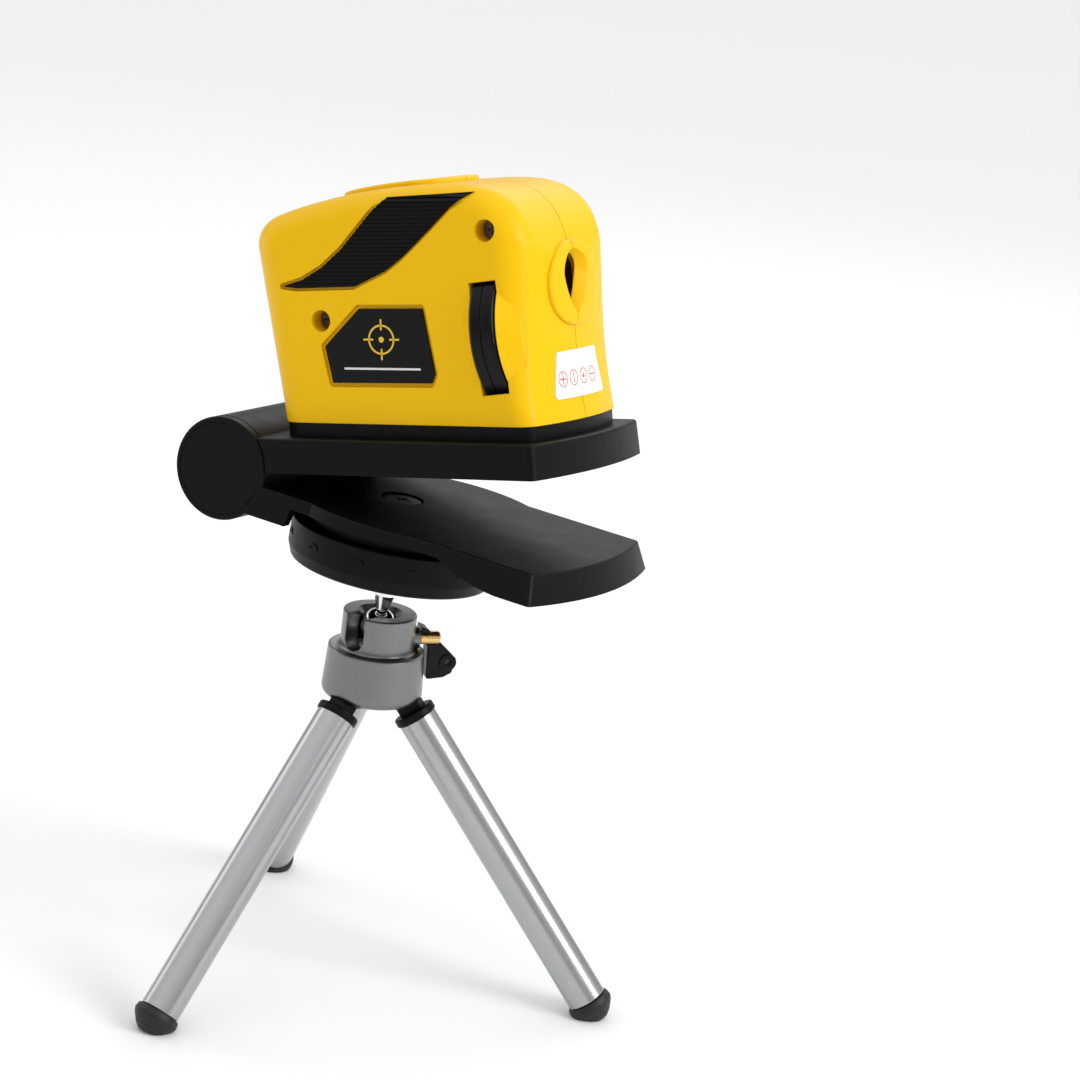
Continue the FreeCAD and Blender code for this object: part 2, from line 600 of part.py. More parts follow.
def housing_ring(z, inset):
    """Plan outline of the housing at one height; the corners grow rounder with height."""
    rise = (z - BASE_TOP) / (ROOF[4][1] - BASE_TOP)
    rear = REAR_X + 1.0 - REAR_RAKE * (z - BASE_TOP) + inset
    flare = FRONT_FLARE * (max(FLARE_TOP - z, 0) / (FLARE_TOP - BASE_TOP)) ** 2
    front = FRONT_X - FRONT_FLARE - FRONT_BULGE + flare - FRONT_RAKE * (z - BASE_TOP) - inset
    half = HOUSING_HALF - inset
    front_r = FRONT_CORNER_R[0] + (FRONT_CORNER_R[1] - FRONT_CORNER_R[0]) * rise - inset
    rear_r = REAR_CORNER_R[0] + (REAR_CORNER_R[1] - REAR_CORNER_R[0]) * rise - inset
    nose = Vector(front + FRONT_BULGE, 0, z)
    tail = Vector(rear - REAR_BULGE, 0, z)
    corners = [Vector(rear, -half, z), Vector(front, -half, z), Vector(front, half, z), Vector(rear, half, z)]
    aims = [nose + Vector(FRONT_BULGE * 0.45, -half / 2, 0), nose + Vector(FRONT_BULGE * 0.45, half / 2, 0)]
    a_end = corner_arc(tail, corners[0], corners[1], rear_r)
    b_end = corner_arc(corners[0], corners[1], aims[0], front_r)
    c_end = corner_arc(aims[1], corners[2], corners[3], front_r)
    d_end = corner_arc(corners[2], corners[3], tail, rear_r)
    return Part.Wire([
        a_end[1], Part.makeLine(a_end[2], b_end[0]), b_end[1], Part.Arc(b_end[2], nose, c_end[0]).toShape(),
        c_end[1], Part.makeLine(c_end[2], d_end[0]), d_end[1], Part.Arc(d_end[2], tail, a_end[0]).toShape(),
    ])


def housing_column(inset, z0, z1):
    """The housing's walls between two heights, set in by inset."""
    whole = Part.makeLoft([housing_ring(z, inset) for z in COLUMN_HEIGHTS], True, False)
    return whole.common(box(-20, 120, -40, 40, z0, z1))


def under_roof(drop, y0=-40.0, y1=40.0):
    """Everything below the roof line, lowered by drop."""
    points = [Vector(x, y0, z - drop) for x, z in ROOF]
    curve = Part.BSplineCurve()
    curve.interpolate(points)
    first = Vector(points[0].x, y0, -5)
    ahead = Vector(points[-1].x + 12, y0, points[-1].z)
    last = Vector(ahead.x, y0, -5)
    wire = Part.Wire([curve.toShape(), Part.makeLine(points[-1], ahead), Part.makeLine(ahead, last),
                      Part.makeLine(last, first), Part.makeLine(first, points[0])])
    return Part.Face(wire).extrude(Vector(0, y1 - y0, 0))


def base_band(inset, z0, z1):
    """Upright walls on the housing's bottom outline."""
    outline = housing_ring(BASE_TOP, inset)
    outline.translate(Vector(0, 0, z0 - BASE_TOP))
    return Part.Face(outline).extrude(Vector(0, 0, z1 - z0))


def housing_solid(inset, z0):
    roof = under_roof(POD_RISE + inset)
    roof.translate(Vector(-inset / 2, 0, 0))
    body = housing_column(inset, z0, COLUMN_HEIGHTS[-1]).common(roof)
    top = [e for e in body.Edges if e.BoundBox.ZMin > 52 - inset and e.BoundBox.ZLength < 12]
    return body.makeFillet(TOP_EDGE_R - inset, top)


def drop_outline(half, top, foot, x):
    """Aperture outline: round top, bowed sides, pointed foot."""
    z = top - half
    low = Vector(x, 0, foot)
    left = Vector(x, -half, z)
    right = Vector(x, half, z)
    crown = Part.Arc(left, Vector(x, 0, top), right).toShape()
    bow = Vector(x, half * 0.66, (z + foot) / 2)
    back = Vector(x, -bow.y, bow.z)
    return Part.Wire([crown, Part.Arc(right, bow, low).toShape(), Part.Arc(low, back, left).toShape()])


def oval_x(half_y, half_z, z, x0, x1):
    """A rounded-oval block along X."""
    turn = Placement(Vector(x0, 0, z), Rotation(Y_AXIS, 90))
    flat = Part.Ellipse(Vector(), max(half_y, half_z), min(half_y, half_z)).toShape()
    if half_y > half_z:
        flat.rotate(Vector(), Z_AXIS, 90)
    flat.Placement = turn.multiply(flat.Placement)
    return Part.Face(Part.Wire([flat])).extrude(Vector(x1 - x0, 0, 0))


def grown_outline(points, grow):
    """The outline pushed out by grow with rounded corners."""
    corners = [Vector(x, 0, z) for x, z in points]
    face = Part.Face(Part.makePolygon(corners + corners[:1]))
    if grow:
        face = Part.Face(face.makeOffset2D(grow, 0))
    return face


def side_panel(points, grow, y0, y1):
    face = grown_outline(points, grow)
    face.translate(Vector(0, y0, 0))
    return face.extrude(Vector(0, y1 - y0, 0))


def wheel_place():
    return Placement(Vector(WHEEL_X, WHEEL_Y, WHEEL_Z), Rotation(Y_AXIS, 90 - WHEEL_CANT))


def on_wheel(shape):
    shape.Placement = wheel_place().multiply(shape.Placement)
    return shape


def optic_spot(turn):
    """Centre of one optic in the wheel's own plane; turn 0 is the one on the beam."""
    down_x = -(BEAM_Z - WHEEL_Z) / math.cos(math.radians(WHEEL_CANT))
    a = math.atan2(-WHEEL_Y, down_x) + math.radians(90 * turn)
    r = math.hypot(down_x, WHEEL_Y)
    return r * math.cos(a), r * math.sin(a)


def housing_block():
    """Both shells as one piece, before they are parted on the centre plane."""
    outer = housing_solid(0, BASE_TOP)
    inner = housing_solid(WALL, BASE_TOP - 1)
    x0, x1, half = POD
    pod = box(x0, x1, -half, half, 55, 75)
    pod = pod.makeFillet(9.0, [e for e in pod.Edges if e.BoundBox.ZLength > 10])
    pod = pod.common(under_roof(0))
    pod = pod.makeFillet(0.7, [e for e in pod.Edges if e.BoundBox.ZMin > 62])
    ring = outer.copy()
    ring.translate(Vector(1.1, 0, 0))
    ring = ring.common(oval_x(12.0, 10.2, BEAM_Z - 0.4, 60, 100))
    ring = ring.makeFillet(0.9, [e for e in ring.Edges if e.BoundBox.XMin > 80])
    body = fused([outer, pod, ring]).cut(inner)
    lip = rod(WINDOW_R + 1.7, Vector(WINDOW_X + 0.1, 0, BEAM_Z), Vector(86, 0, BEAM_Z)).common(outer)
    axle_dir = wheel_place().Rotation.multVec(Z_AXIS)
    centre = Vector(WHEEL_X, WHEEL_Y, WHEEL_Z)
    boss = rod(3.4, centre + axle_dir * 4.2, centre + axle_dir * 14).common(outer)
    web = box(63.6, 66.6, -HOUSING_HALF + 1, WHEEL_Y + 4, WHEEL_Z - 5, WHEEL_Z + 4)
    guard = WHEEL_W / 2 + 0.4
    slope = WHEEL_R - 4.6
    ahead = Part.makeCone(WHEEL_R - 0.7, slope, GUARD_FRONT, Vector(0, 0, guard))
    behind = Part.makeCone(slope, WHEEL_R - 1.0, GUARD_REAR, Vector(0, 0, -guard - GUARD_REAR))
    between = rod(WHEEL_R - 1.0, Vector(0, 0, -guard), Vector(0, 0, guard))
    fenders = on_wheel(fused([ahead, behind, between]))
    fenders = fenders.common(box(50, 95, -40, -HOUSING_HALF + WALL, 12, 52))
    extras = [lip, boss, web, fenders]
    for side in (-1, 1):
        y = side * (DOOR_HALF + 1.4)
        extras.append(box(9, 14.8, y - 1.2, y + 1.2, DOOR_PIN_Z - 2.4, DOOR_PIN_Z + 2.4).common(outer))
    for x, z in SHELL_SCREWS:
        extras.append(rod(4.0, Vector(x, -HOUSING_HALF + 1, z), Vector(x, HOUSING_HALF - 1, z)))
    body = fused([body] + extras)
    window_x0, window_x1, window_half = VIAL_WINDOW
    shapes = [
        Part.makeLoft([drop_outline(*THROAT), drop_outline(*MOUTH)], True, True),
        rod(WINDOW_R, Vector(WINDOW_X, 0, BEAM_Z), Vector(THROAT[3] + 0.1, 0, BEAM_Z)),
        on_wheel(rod(WHEEL_R + 0.9, Vector(0, 0, -WHEEL_W / 2 - 0.4), Vector(0, 0, WHEEL_W / 2 + 0.4))),
        on_wheel(rod(1.5, Vector(0, 0, -9.0), Vector(0, 0, 9.0))),
        box(window_x0, window_x1, -window_half, window_half, 60, 75),
        switch_slot(HOUSING_HALF - 4),
        box(-5, 17.0, -DOOR_HALF - 0.2, DOOR_HALF + 0.2, DOOR_Z[0] - 0.2, DOOR_Z[1] + 0.2),
        door_pin(2.6, DOOR_HALF + 0.2),
        door_pin(0.85, DOOR_HALF + 2.2),
    ]
    body = cut_all(body, shapes)
    seam = box(-20, 110, -SEAM / 2, SEAM / 2, 0, 80).cut(housing_solid(SEAM * 1.4, BASE_TOP))
    body = body.cut(seam)
    for side in (-1, 1):
        skin = side * (HOUSING_HALF + 1)
        body = body.cut(side_panel(INLAY, 0.7, side * (HOUSING_HALF - 1.0), skin))
        body = body.cut(side_panel(NAMEPLATE, 1.2, side * (HOUSING_HALF - 1.0), skin))
    for x, z in SHELL_SCREWS:
        recess_end = Vector(x, -HOUSING_HALF + SCREW_RECESS, z)
        body = body.cut(rod(SCREW_RECESS_R, Vector(x, -HOUSING_HALF - 1, z), recess_end))
        body = body.cut(rod(1.25, Vector(x, -HOUSING_HALF, z), Vector(x, 12, z)))
    return body


def half_of(block, side):
    y0, y1 = (-50, 0) if side < 0 else (0, 50)
    return block.common(box(-50, 150, y0, y1, -20, 100))


def housing_screws():
    screws = []
    for x, z in SHELL_SCREWS:
        head_y = -HOUSING_HALF + SCREW_RECESS
        screw = rod(1.25, Vector(x, head_y, z), Vector(x, 10, z))
        head = rod(2.3, Vector(x, head_y, z), Vector(x, head_y - 1.2, z))
        cross = [box(x - 1.4, x + 1.4, head_y - 1.5, head_y - 0.5, z - 0.3, z + 0.3),
                 box(x - 0.3, x + 0.3, head_y - 1.5, head_y - 0.5, z - 1.4, z + 1.4)]
        screws.append(cut_all(screw.fuse(head), cross))
    return Part.makeCompound(screws)


def side_inlay(side):
    """Ribbed black grip panel let into the shell."""
    skin = side * (HOUSING_HALF - 0.1)
    panel = side_panel(INLAY, 0, side * (HOUSING_HALF - 1.0), skin)
    grooves = []
    z = 44.6
    while z < 66:
        grooves.append(box(15, 72, min(skin, skin - side * 0.3), max(skin, skin - side * 0.3), z, z + 0.35))
        z += 0.95
    return panel.cut(Part.makeCompound(grooves))


def door_pin(radius, reach):
    """A cylinder on the battery door's hinge axis, out to reach on both sides."""
    return rod(radius, Vector(DOOR_PIN_X, -reach, DOOR_PIN_Z), Vector(DOOR_PIN_X, reach, DOOR_PIN_Z))


def switch_slot(reach):
    """The opening that the sliding button travels in."""
    return box(SWITCH_X - 5.0, SWITCH_X + 5.0, reach, HOUSING_HALF + 1, SWITCH_Z - 2.0, SWITCH_Z + 2.0)


def nameplate(side):
    plate = side_panel(NAMEPLATE, 0.2, side * (HOUSING_HALF - 1.0), side * (HOUSING_HALF - 0.2))
    if side > 0:
        plate = plate.cut(switch_slot(HOUSING_HALF - 4))
    return plate


def front_label():
    outer = housing_column(0, BASE_TOP, 40)
    sheet = outer.copy()
    sheet.translate(Vector(0.35, 0, 0))
    corners = [Vector(60, y, z) for y, z in LABEL]
    block = Part.Face(Part.makePolygon(corners + corners[:1])).extrude(Vector(40, 0, 0))
    block = block.makeFillet(1.0, [e for e in block.Edges if e.BoundBox.XLength > 30])
    return sheet.common(block).cut(outer)


def housing_base():
    outer = base_band(0.35, UPPER_TOP, BASE_TOP)
    inner = base_band(WALL + 0.2, UPPER_TOP + 1.6, BASE_TOP + 1)
    body = outer.cut(inner)
    for x, y in BASE_SCREWS:
        body = body.fuse(rod(3.0, Vector(x, y, UPPER_TOP), Vector(x, y, BASE_TOP)).common(outer))
    for y in (-CELL_Y * 2 - 1.6, CELL_Y * 2):
        body = body.fuse(box(CELL_X + 1, CELL_X + 43, y, y + 1.6, UPPER_TOP + 1, 22.0))
    floor = box(CELL_X, CELL_X + 46, -CELL_Y * 2, CELL_Y * 2, UPPER_TOP + 1, CELL_Z)
    for side in (-1, 1):
        y = side * CELL_Y
        floor = floor.cut(rod(CELL_R + 0.05, Vector(CELL_X - 1, y, CELL_Z), Vector(70, y, CELL_Z)))
    floor = floor.cut(box(CELL_X - 1, 70, -20, 20, CELL_Z - 2.5, CELL_Z + 5))
    stop = box(CELL_X + 46.2, CELL_X + 48.2, -12, 12, UPPER_TOP + 1, 23.8)
    body = fused([body, floor, stop])
    slot = on_wheel(rod(WHEEL_R + 0.9, Vector(0, 0, -WHEEL_W / 2 - 0.4), Vector(0, 0, WHEEL_W / 2 + 0.4)))
    body = body.cut(slot)
    for x, y in BASE_SCREWS:
        body = body.cut(rod(1.25, Vector(x, y, 5), Vector(x, y, 9.6)))
    return body


# ---- inside the housing ----
def selector_wheel():
    half = WHEEL_W / 2
    wheel = rod(WHEEL_R, Vector(0, 0, -half), Vector(0, 0, half))
    wheel = wheel.makeFillet(0.8, [e for e in wheel.Edges if isinstance(e.Curve, Part.Circle)])
    pocket = tube(WHEEL_R - 2.6, 4.0, Vector(0, 0, 1.2), Vector(0, 0, half + 1))
    bosses = []
    bores = []
    for turn in range(4):
        x, y = optic_spot(turn)
        bosses.append(rod(OPTIC_R + 1.1, Vector(x, y, 0), Vector(x, y, half - 0.3)))
        bores.append(rod(OPTIC_R, Vector(x, y, -0.6), Vector(x, y, half + 1)))
        bores.append(rod(OPTIC_R - 0.5, Vector(x, y, -half - 1), Vector(x, y, half + 1)))
    bores.append(tube(WHEEL_R + 1, WHEEL_R - 0.25, Vector(0, 0, -0.2), Vector(0, 0, 0.2)))
    bores.append(rod(1.5 + RUNNING, Vector(0, 0, -9), Vector(0, 0, 9)))
    body = fused([wheel.cut(pocket)] + bosses)
    return on_wheel(body.cut(Part.makeCompound(bores)))


def pattern_optic(turn, ridges):
    """Small round lens; the moulded ridges on its face spread the beam."""
    x, y = optic_spot(turn)
    lens = rod(OPTIC_R, Vector(x, y, -0.6), Vector(x, y, 1.4))
    for width, height in ridges:
        ridge = box(x - width / 2, x + width / 2, y - height / 2, y + height / 2, 1.3, 1.8)
        lens = lens.fuse(ridge)
    return on_wheel(lens)


def selector_axle():
    return on_wheel(rod(1.5, Vector(0, 0, -8.6), Vector(0, 0, 8.6)))


def inner_deck():
    """Deck over the battery bay, with two saddles for the laser module."""
    side = HOUSING_HALF - WALL - 0.02
    deck = box(20.0, 62.5, -side, side, DECK_Z, DECK_Z + 1.5)
    saddles = [box(x, x + 3.5, -7.5, 7.5, DECK_Z, BEAM_Z + 3.0) for x in (45.0, 57.0)]
    corners = [(x, y) for x in (23.5, 38.5) for y in (-15, 15)]
    posts = [rod(1.6, Vector(x, y, DECK_Z), Vector(x, y, DECK_Z + 3.6)) for x, y in corners]
    body = fused([deck] + saddles + posts)
    bore = rod(5.0, Vector(40, 0, BEAM_Z), Vector(70, 0, BEAM_Z))
    return body.cut(bore).cut(box(40, 70, -4.2, 4.2, BEAM_Z, 60))


def laser_module():
    barrel = tube(5.0, 3.6, Vector(42.0, 0, BEAM_Z), Vector(65.4, 0, BEAM_Z))
    back = rod(4.0, Vector(42.0, 0, BEAM_Z), Vector(52.0, 0, BEAM_Z))
    return barrel.fuse(back).removeSplitter()


def collimator_lens():
    return rod(3.6, Vector(62.4, 0, BEAM_Z), Vector(64.6, 0, BEAM_Z))


def aperture_window():
    return rod(WINDOW_R, Vector(WINDOW_X, 0, BEAM_Z), Vector(WINDOW_X + WINDOW_THICK, 0, BEAM_Z))


def circuit_board():
    z = DECK_Z + 3.6
    board = box(21.0, 41.5, -18.0, 18.0, z, z + 1.2)
    chips = [box(24, 28, -6, 2, z + 1.1, z + 2.2), box(31, 39, -12, -5, z + 1.1, z + 3.4),
             box(33, 36, 4, 7, z + 1.1, z + 2.4), box(26, 29, 9, 12, z + 1.1, z + 2.2)]
    wall = HOUSING_HALF - WALL
    arm = box(41.0, SWITCH_X + 6, 9.5, 18.0, z, z + 1.2)
    switch = box(SWITCH_X - 6, SWITCH_X + 6, wall - 6.0, wall - 0.4, z, SWITCH_Z + 3.0)
    return fused([board, arm, switch] + chips)


def power_switch():
    """Sliding thumb button in its slot, shown at the off end."""
    wall = HOUSING_HALF - WALL
    x0 = SWITCH_X - 4.9
    flange = box(x0 + 0.2, x0 + 5.7, wall - 0.35, wall - 0.05, SWITCH_Z - 2.6, SWITCH_Z + 2.6)
    button = box(x0 + 0.2, x0 + 5.7, wall - 0.2, HOUSING_HALF + 1.1, SWITCH_Z - 1.8, SWITCH_Z + 1.8)
    button = button.makeFillet(0.3, [e for e in button.Edges if e.BoundBox.YMin > HOUSING_HALF + 1])
    grips = [box(x0 + k, x0 + k + 0.5, HOUSING_HALF + 0.7, HOUSING_HALF + 2, SWITCH_Z - 2, SWITCH_Z + 2)
             for k in (1.4, 2.7, 4.0)]
    return cut_all(button.fuse(flange), grips)


def batteries():
    cells = []
    for side in (-1, 1):
        x0 = CELL_X + 0.7
        y = side * CELL_Y
        body = rod(CELL_R, Vector(x0, y, CELL_Z), Vector(x0 + CELL_LENGTH - 0.8, y, CELL_Z))
        body = body.makeFillet(0.5, [e for e in body.Edges if isinstance(e.Curve, Part.Circle)])
        tip_x = x0 + CELL_LENGTH - 1.0 if side < 0 else x0 - 0.6
        tip = rod(1.9, Vector(tip_x, y, CELL_Z), Vector(tip_x + 1.0, y, CELL_Z))
        cells.append(body.fuse(tip))
    return Part.makeCompound(cells)


def battery_contacts():
    """Two end plates on the stop at the cells' front ends."""
    x1 = CELL_X + 46.2
    plates = []
    for side in (-1, 1):
        y = side * CELL_Y
        plate = box(x1 - 0.5, x1, y - 3.5, y + 3.5, CELL_Z - 3.5, CELL_Z + 3.5)
        spring = turned([(0.9, 0), (3.4, 0), (1.5, 1.0), (0.9, 1.0)])
        spring.Placement = Placement(Vector(x1 - 0.4, y, CELL_Z), Rotation(Y_AXIS, -90))
        plates.append(plate.fuse(spring) if side > 0 else plate)
    return Part.makeCompound(plates)


def battery_door():
    """Rear flap; the trunnions along its top edge turn in the housing's walls."""
    skin = housing_column(0, BASE_TOP, 45)
    inside = housing_column(1.8, BASE_TOP - 1, 46)
    z0, z1 = DOOR_Z
    block = box(-5, 17.0, -DOOR_HALF, DOOR_HALF, z0, z1)
    flap = skin.cut(inside).common(block)
    body = flap.fuse(door_pin(1.7, DOOR_HALF)).removeSplitter()
    lip = skin.copy()
    lip.translate(Vector(-0.5, 0, 0))
    grips = [lip.common(box(5, 14, -5, 5, z, z + 0.6)) for z in (z0 + 1.2, z0 + 2.6, z0 + 4.0)]
    grips = [g.cut(inside) for g in grips]
    return fused([body, door_pin(0.8, DOOR_HALF + 2.0)] + grips)


def vial_window():
    x0, x1, half = VIAL_WINDOW
    pane = box(x0, x1, -half, half, 60, 75).common(under_roof(0.3)).cut(under_roof(1.7))
    return pane


def long_vial_ends():
    x0, x1 = VIAL_WINDOW[:2]
    return Vector(x0 + 0.8, 0, VIAL_Z), Vector(x1 - 7.6, 0, VIAL_Z)


def cross_vial_ends():
    x = VIAL_WINDOW[1] - 3.6
    reach = VIAL_WINDOW[2] - 0.2
    return Vector(x, -reach, VIAL_Z), Vector(x, reach, VIAL_Z)


def vial_tray():
    """Holds both vials right under the window."""
    x0, x1, half = VIAL_WINDOW
    tray = box(x0 - 2, x1 + 2, -half - 3, half + 3, VIAL_Z - 3.2, VIAL_Z + 1.6)
    tray = tray.common(under_roof(POD_RISE + WALL + 0.1))
    long_start, long_end = long_vial_ends()
    cross_start, cross_end = cross_vial_ends()
    cuts = [rod(LONG_VIAL_R, long_start, long_end),
            box(long_start.x, long_end.x, -LONG_VIAL_R, LONG_VIAL_R, VIAL_Z, VIAL_Z + 5),
            rod(CROSS_VIAL_R, cross_start, cross_end),
            box(cross_start.x - CROSS_VIAL_R, cross_start.x + CROSS_VIAL_R, cross_start.y, cross_end.y,
                VIAL_Z, VIAL_Z + 5)]
    return cut_all(tray, cuts)


def vial(radius, start, end):
    body = rod(radius, start, end)
    return body.makeFillet(0.5, [e for e in body.Edges if isinstance(e.Curve, Part.Circle)])


# ---- write every piece ----
def main():
    os.makedirs("parts", exist_ok=True)
    save("hub_body", hub_body(), TRIPOD)
    save("ball_seat", ball_seat(), TRIPOD)
    save("leg_pivot_pins", leg_pivot_pins(), TRIPOD)
    screw_side = TRIPOD.multiply(Placement(Vector(), Rotation(Z_AXIS, SCREW_ANGLE)))
    save("clamp_screw", clamp_screw(), screw_side)
    save("clamp_lever", clamp_lever(), screw_side)
    for name, angle in LEG_ANGLES.items():
        place = leg_frame(angle)
        save("leg_hinge_cap_" + name, leg_hinge_cap(), place)
        save("leg_outer_tube_" + name, leg_outer_tube(), place)
        save("leg_middle_tube_" + name, leg_middle_tube(), place)
        save("leg_inner_tube_" + name, leg_inner_tube(), place)
        save("leg_foot_" + name, leg_foot(), place)

    save("ball_stud", ball_stud(), HEAD)
    save("stud_pad", stud_pad(), HEAD)
    save("thread_insert", thread_insert(), HEAD)
    save("turntable_disc", turntable_disc(), HEAD)
    save("turntable_pivot_screw", pivot_screw(), HEAD)
    save("turntable_friction_ring", friction_ring(), HEAD)
    save("lower_plate", lower_plate(), HEAD)
    save("hinge_bolt", hinge_bolt(), HEAD)
    save("hinge_nut", hinge_nut(), HEAD)
    save("hinge_washers", both_sides(hinge_washer), HEAD)
    save("hinge_caps", both_sides(hinge_cap), HEAD)

    block = housing_block()
    save("upper_plate", upper_plate(), UPPER)
    save("base_screws", Part.makeCompound([base_screw(x, y) for x, y in BASE_SCREWS]), UPPER)
    save("housing_base", housing_base(), UPPER)
    save("housing_right", half_of(block, -1), UPPER)
    save("housing_left", half_of(block, 1), UPPER)
    save("housing_screws", housing_screws(), UPPER)
    save("side_inlay_right", side_inlay(-1), UPPER)
    save("side_inlay_left", side_inlay(1), UPPER)
    save("nameplate_right", nameplate(-1), UPPER)
    save("nameplate_left", nameplate(1), UPPER)
    save("front_label", front_label(), UPPER)
    save("selector_wheel", selector_wheel(), UPPER)
    save("selector_axle", selector_axle(), UPPER)
    save("optic_cross", pattern_optic(0, [(4.2, 0.5), (0.5, 4.2)]), UPPER)
    save("optic_dot", pattern_optic(1, [(1.2, 1.2)]), UPPER)
    lines = [pattern_optic(2, [(4.2, 0.5)]), pattern_optic(3, [(0.5, 4.2)])]
    save("line_optics", Part.makeCompound(lines), UPPER)
    save("inner_deck", inner_deck(), UPPER)
    save("laser_module", laser_module(), UPPER)
    save("collimator_lens", collimator_lens(), UPPER)
    save("aperture_window", aperture_window(), UPPER)
    save("circuit_board", circuit_board(), UPPER)
    save("power_switch", power_switch(), UPPER)
    save("batteries", batteries(), UPPER)
    save("battery_contacts", battery_contacts(), UPPER)
    save("battery_door", battery_door(), UPPER)
    save("vial_window", vial_window(), UPPER)
    save("vial_tray", vial_tray(), UPPER)
    save("long_vial", vial(LONG_VIAL_R, *long_vial_ends()), UPPER)
    save("cross_vial", vial(CROSS_VIAL_R, *cross_vial_ends()), UPPER)


main()
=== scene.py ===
"""Looks for the laser level on its pocket tripod: materials, printed marks, vial bubbles, studio."""

import json
import math

import bpy
from mathutils import Matrix, Vector
from mathutils.bvhtree import BVHTree


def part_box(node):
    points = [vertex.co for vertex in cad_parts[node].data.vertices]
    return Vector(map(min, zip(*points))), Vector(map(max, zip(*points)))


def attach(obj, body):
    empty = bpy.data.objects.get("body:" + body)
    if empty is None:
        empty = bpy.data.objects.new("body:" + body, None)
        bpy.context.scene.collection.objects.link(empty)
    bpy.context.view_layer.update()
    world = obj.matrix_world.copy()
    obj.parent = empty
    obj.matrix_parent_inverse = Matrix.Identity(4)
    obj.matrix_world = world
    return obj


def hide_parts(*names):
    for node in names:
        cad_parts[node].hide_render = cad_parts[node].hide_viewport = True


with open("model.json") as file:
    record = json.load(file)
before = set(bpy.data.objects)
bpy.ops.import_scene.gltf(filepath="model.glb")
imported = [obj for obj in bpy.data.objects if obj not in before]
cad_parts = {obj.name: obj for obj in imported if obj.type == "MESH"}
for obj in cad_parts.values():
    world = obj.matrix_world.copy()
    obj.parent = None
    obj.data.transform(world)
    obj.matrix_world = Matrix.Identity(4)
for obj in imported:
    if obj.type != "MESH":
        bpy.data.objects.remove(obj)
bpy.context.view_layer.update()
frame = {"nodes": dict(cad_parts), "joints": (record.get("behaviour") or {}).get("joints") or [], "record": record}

MM = 0.001
MICRON = 0.000001
nodes = frame["nodes"]
joints = {joint["name"]: joint for joint in frame["joints"]}


# ---- the head's own axes, read from its joints ----
def joint_axis(name):
    return Vector(joints[name]["axis"]).normalized()


HEAD_X = joint_axis("power_slide")
HEAD_Y = -joint_axis("plate_hinge")
HEAD_Z = HEAD_X.cross(HEAD_Y)
BARREL = Vector(joints["plate_hinge"]["pos_m"])


def in_head(x, y, z):
    """A point given in millimetres along the head's axes from the barrel's centre."""
    return BARREL + (HEAD_X * x + HEAD_Y * y + HEAD_Z * z) * MM


# ---- node-tree helpers ----
class Tree:
    """A material's node tree, with one call per node."""

    def __init__(self, name):
        self.material = bpy.data.materials.new(name)
        self.material.use_nodes = True
        self.nodes = self.material.node_tree.nodes
        self.links = self.material.node_tree.links
        self.shader = self.nodes["Principled BSDF"]

    def node(self, kind, inputs=None, **settings):
        made = self.nodes.new(kind)
        for key, value in settings.items():
            setattr(made, key, value)
        for key, value in (inputs or {}).items():
            self.feed(made.inputs[key], value)
        return made

    def feed(self, socket, value):
        if isinstance(value, bpy.types.NodeSocket):
            self.links.new(value, socket)
        else:
            socket.default_value = value

    def set(self, **inputs):
        for key, value in inputs.items():
            self.feed(self.shader.inputs[key.replace("_", " ")], value)

    def place(self, scale=(1, 1, 1), turn=None):
        """Object coordinates, turned into a part's own axes and stretched."""
        vector = self.node("ShaderNodeTexCoord").outputs["Object"]
        if turn is not None:
            euler = turn.to_euler("XYZ")
            vector = self.node("ShaderNodeMapping", {"Vector": vector, "Rotation": tuple(euler)}).outputs[0]
        return self.node("ShaderNodeMapping", {"Vector": vector, "Scale": scale}).outputs[0]

    def noise(self, vector, scale, detail=3.0, roughness=0.5):
        made = self.node("ShaderNodeTexNoise", {"Vector": vector, "Scale": scale, "Detail": detail,
                                                "Roughness": roughness})
        return made.outputs["Fac"]

    def span(self, value, low, high, start=0.3, end=0.7):
        """Noise stretched to run from low to high."""
        made = self.node("ShaderNodeMapRange", {"Value": value, "From Min": start, "From Max": end,
                                                "To Min": low, "To Max": high})
        return made.outputs["Result"]

    def tint(self, value, dark, light):
        made = self.node("ShaderNodeMix", {"Factor": value}, data_type="RGBA")
        self.feed(made.inputs["A"], (*dark, 1))
        self.feed(made.inputs["B"], (*light, 1))
        return made.outputs["Result"]

    def bump(self, height, depth, normal=None):
        inputs = {"Height": height, "Distance": depth * MICRON, "Strength": 1.0}
        if normal is not None:
            inputs["Normal"] = normal
        return self.node("ShaderNodeBump", inputs).outputs["Normal"]

    def soft_edges(self, radius):
        return self.node("ShaderNodeBevel", {"Radius": radius * MM}, samples=4).outputs["Normal"]


def shade(colour, factor):
    return tuple(channel * factor for channel in colour)


# Grain is a noise scale per metre, depth is in microns, and edge, a softened edge's radius, in millimetres.
PLASTIC_CLOUDS = 30.0
PLASTIC_GLOSS = 140.0
PLASTIC_IOR = 1.49
METAL_CLOUDS = 60.0
SHELL_SCATTER = {"Subsurface_Scale": 0.0015, "Subsurface_Radius": (1.0, 0.55, 0.1)}


